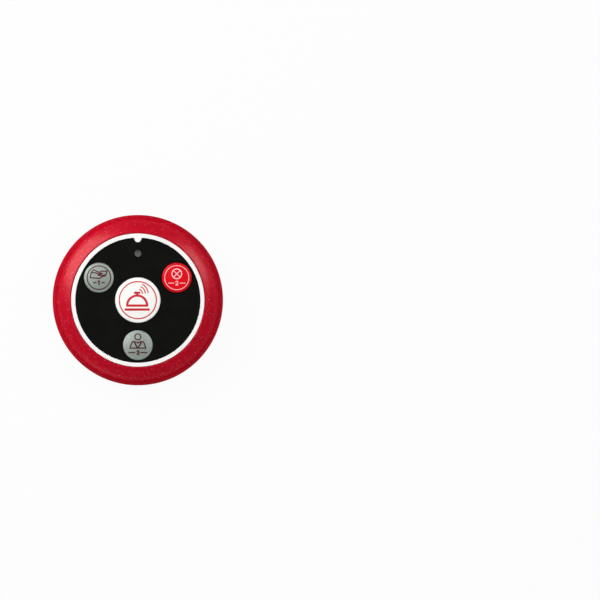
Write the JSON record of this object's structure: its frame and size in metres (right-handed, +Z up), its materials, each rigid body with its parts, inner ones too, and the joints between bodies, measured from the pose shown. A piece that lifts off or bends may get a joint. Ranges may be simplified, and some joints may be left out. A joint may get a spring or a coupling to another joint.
{
  "type": "waiter call button",
  "caption": "Round table-top radio call button: red bezel shell on a black base, large call key ringed by pay, cancel and order keys, indicator light.",
  "frame": {"origin": "on the table, at the middle of the four rubber feet", "axes": "+Z up, out of the key panel; +Y towards the indicator light; +X towards the battery door's open end"},
  "size_m": [0.06, 0.06, 0.0182],
  "materials": {
    "red_metallic_paint": "red metallic paint with fine sparkle, clear coated, on moulded ABS",
    "white_plastic": "smooth moulded ABS, semi-gloss",
    "black_panel": "black moulded ABS, satin",
    "frosted_acrylic": "frosted acrylic, unlit",
    "black_plastic": "black ABS, fine spark texture",
    "rubber": "soft black rubber, matte",
    "screw_steel": "zinc plated",
    "circuit_board": "green solder mask on glass-fibre board",
    "switch_plastic": "black moulded nylon",
    "spring_steel": "nickel plated sheet or wire",
    "tinned_copper": "tinned",
    "led_resin": "clear resin on a white body",
    "chip_resin": "black epoxy",
    "chip_ceramic": "black glazed top on white ceramic",
    "capacitor_ceramic": "tan fired ceramic",
    "copper_wire": "enamelled copper",
    "battery_steel": "nickel plated steel",
    "button_cells": "nickel plated, bright",
    "battery_jacket": "shrunk plastic sleeve, plain",
    "plunger_plastic": "black moulded nylon",
    "white_key": "smooth moulded ABS, satin",
    "grey_key": "cool grey moulded ABS, satin",
    "red_key": "red moulded ABS, satin",
    "red_ink": "pad-printed ink on the call key",
    "dark_red_ink": "pad-printed ink on the grey keys",
    "pale_ink": "pad-printed ink on the cancel key"
  },
  "bodies": {
    "housing": {"top_shell": "red_metallic_paint", "trim_ring": "white_plastic", "key_panel": "black_panel", "light_pipe": "frosted_acrylic", "base_cover": "black_plastic", "rubber_feet": "rubber", "case_screws": "screw_steel", "board_screws": "screw_steel", "circuit_board": "circuit_board", "switch_housings": "switch_plastic", "switch_covers": "spring_steel", "switch_terminals": "tinned_copper", "status_led": "led_resin", "encoder_chip": "chip_resin", "encoder_leads": "tinned_copper", "resonator": "spring_steel", "chip_resistors": "chip_ceramic", "chip_capacitors": "capacitor_ceramic", "antenna_coil": "copper_wire", "plus_contact": "spring_steel", "minus_contact": "spring_steel", "contact_spring": "spring_steel", "battery_can": "battery_steel", "battery_cells": "button_cells", "battery_jacket": "battery_jacket", "call_contact_dome": "spring_steel", "pay_contact_dome": "spring_steel", "cancel_contact_dome": "spring_steel", "order_contact_dome": "spring_steel"},
    "call_key_body": {"call_key": "white_key", "call_plunger": "plunger_plastic"},
    "pay_key_body": {"pay_key": "grey_key", "pay_plunger": "plunger_plastic"},
    "cancel_key_body": {"cancel_key": "red_key", "cancel_plunger": "plunger_plastic"},
    "order_key_body": {"order_key": "grey_key", "order_plunger": "plunger_plastic"},
    "battery_door_body": {"battery_door": "black_plastic"}
  },
  "joints": [
    {"name": "call_key_press", "type": "slide", "parent": "housing", "child": "call_key_body", "axis": [0, 0, -1], "range_m": [0, 0.0003], "stiffness_N_per_m": 1500, "springref_m": -0.0008, "deforming": ["call_contact_dome"]},
    {"name": "pay_key_press", "type": "slide", "parent": "housing", "child": "pay_key_body", "axis": [0, 0, -1], "range_m": [0, 0.0003], "stiffness_N_per_m": 1500, "springref_m": -0.0008, "deforming": ["pay_contact_dome"]},
    {"name": "cancel_key_press", "type": "slide", "parent": "housing", "child": "cancel_key_body", "axis": [0, 0, -1], "range_m": [0, 0.0003], "stiffness_N_per_m": 1500, "springref_m": -0.0008, "deforming": ["cancel_contact_dome"]},
    {"name": "order_key_press", "type": "slide", "parent": "housing", "child": "order_key_body", "axis": [0, 0, -1], "range_m": [0, 0.0003], "stiffness_N_per_m": 1500, "springref_m": -0.0008, "deforming": ["order_contact_dome"]},
    {"name": "battery_door_slide", "type": "slide", "parent": "housing", "child": "battery_door_body", "axis": [1, 0, 0], "range_m": [0, 0.04]}
  ]
}
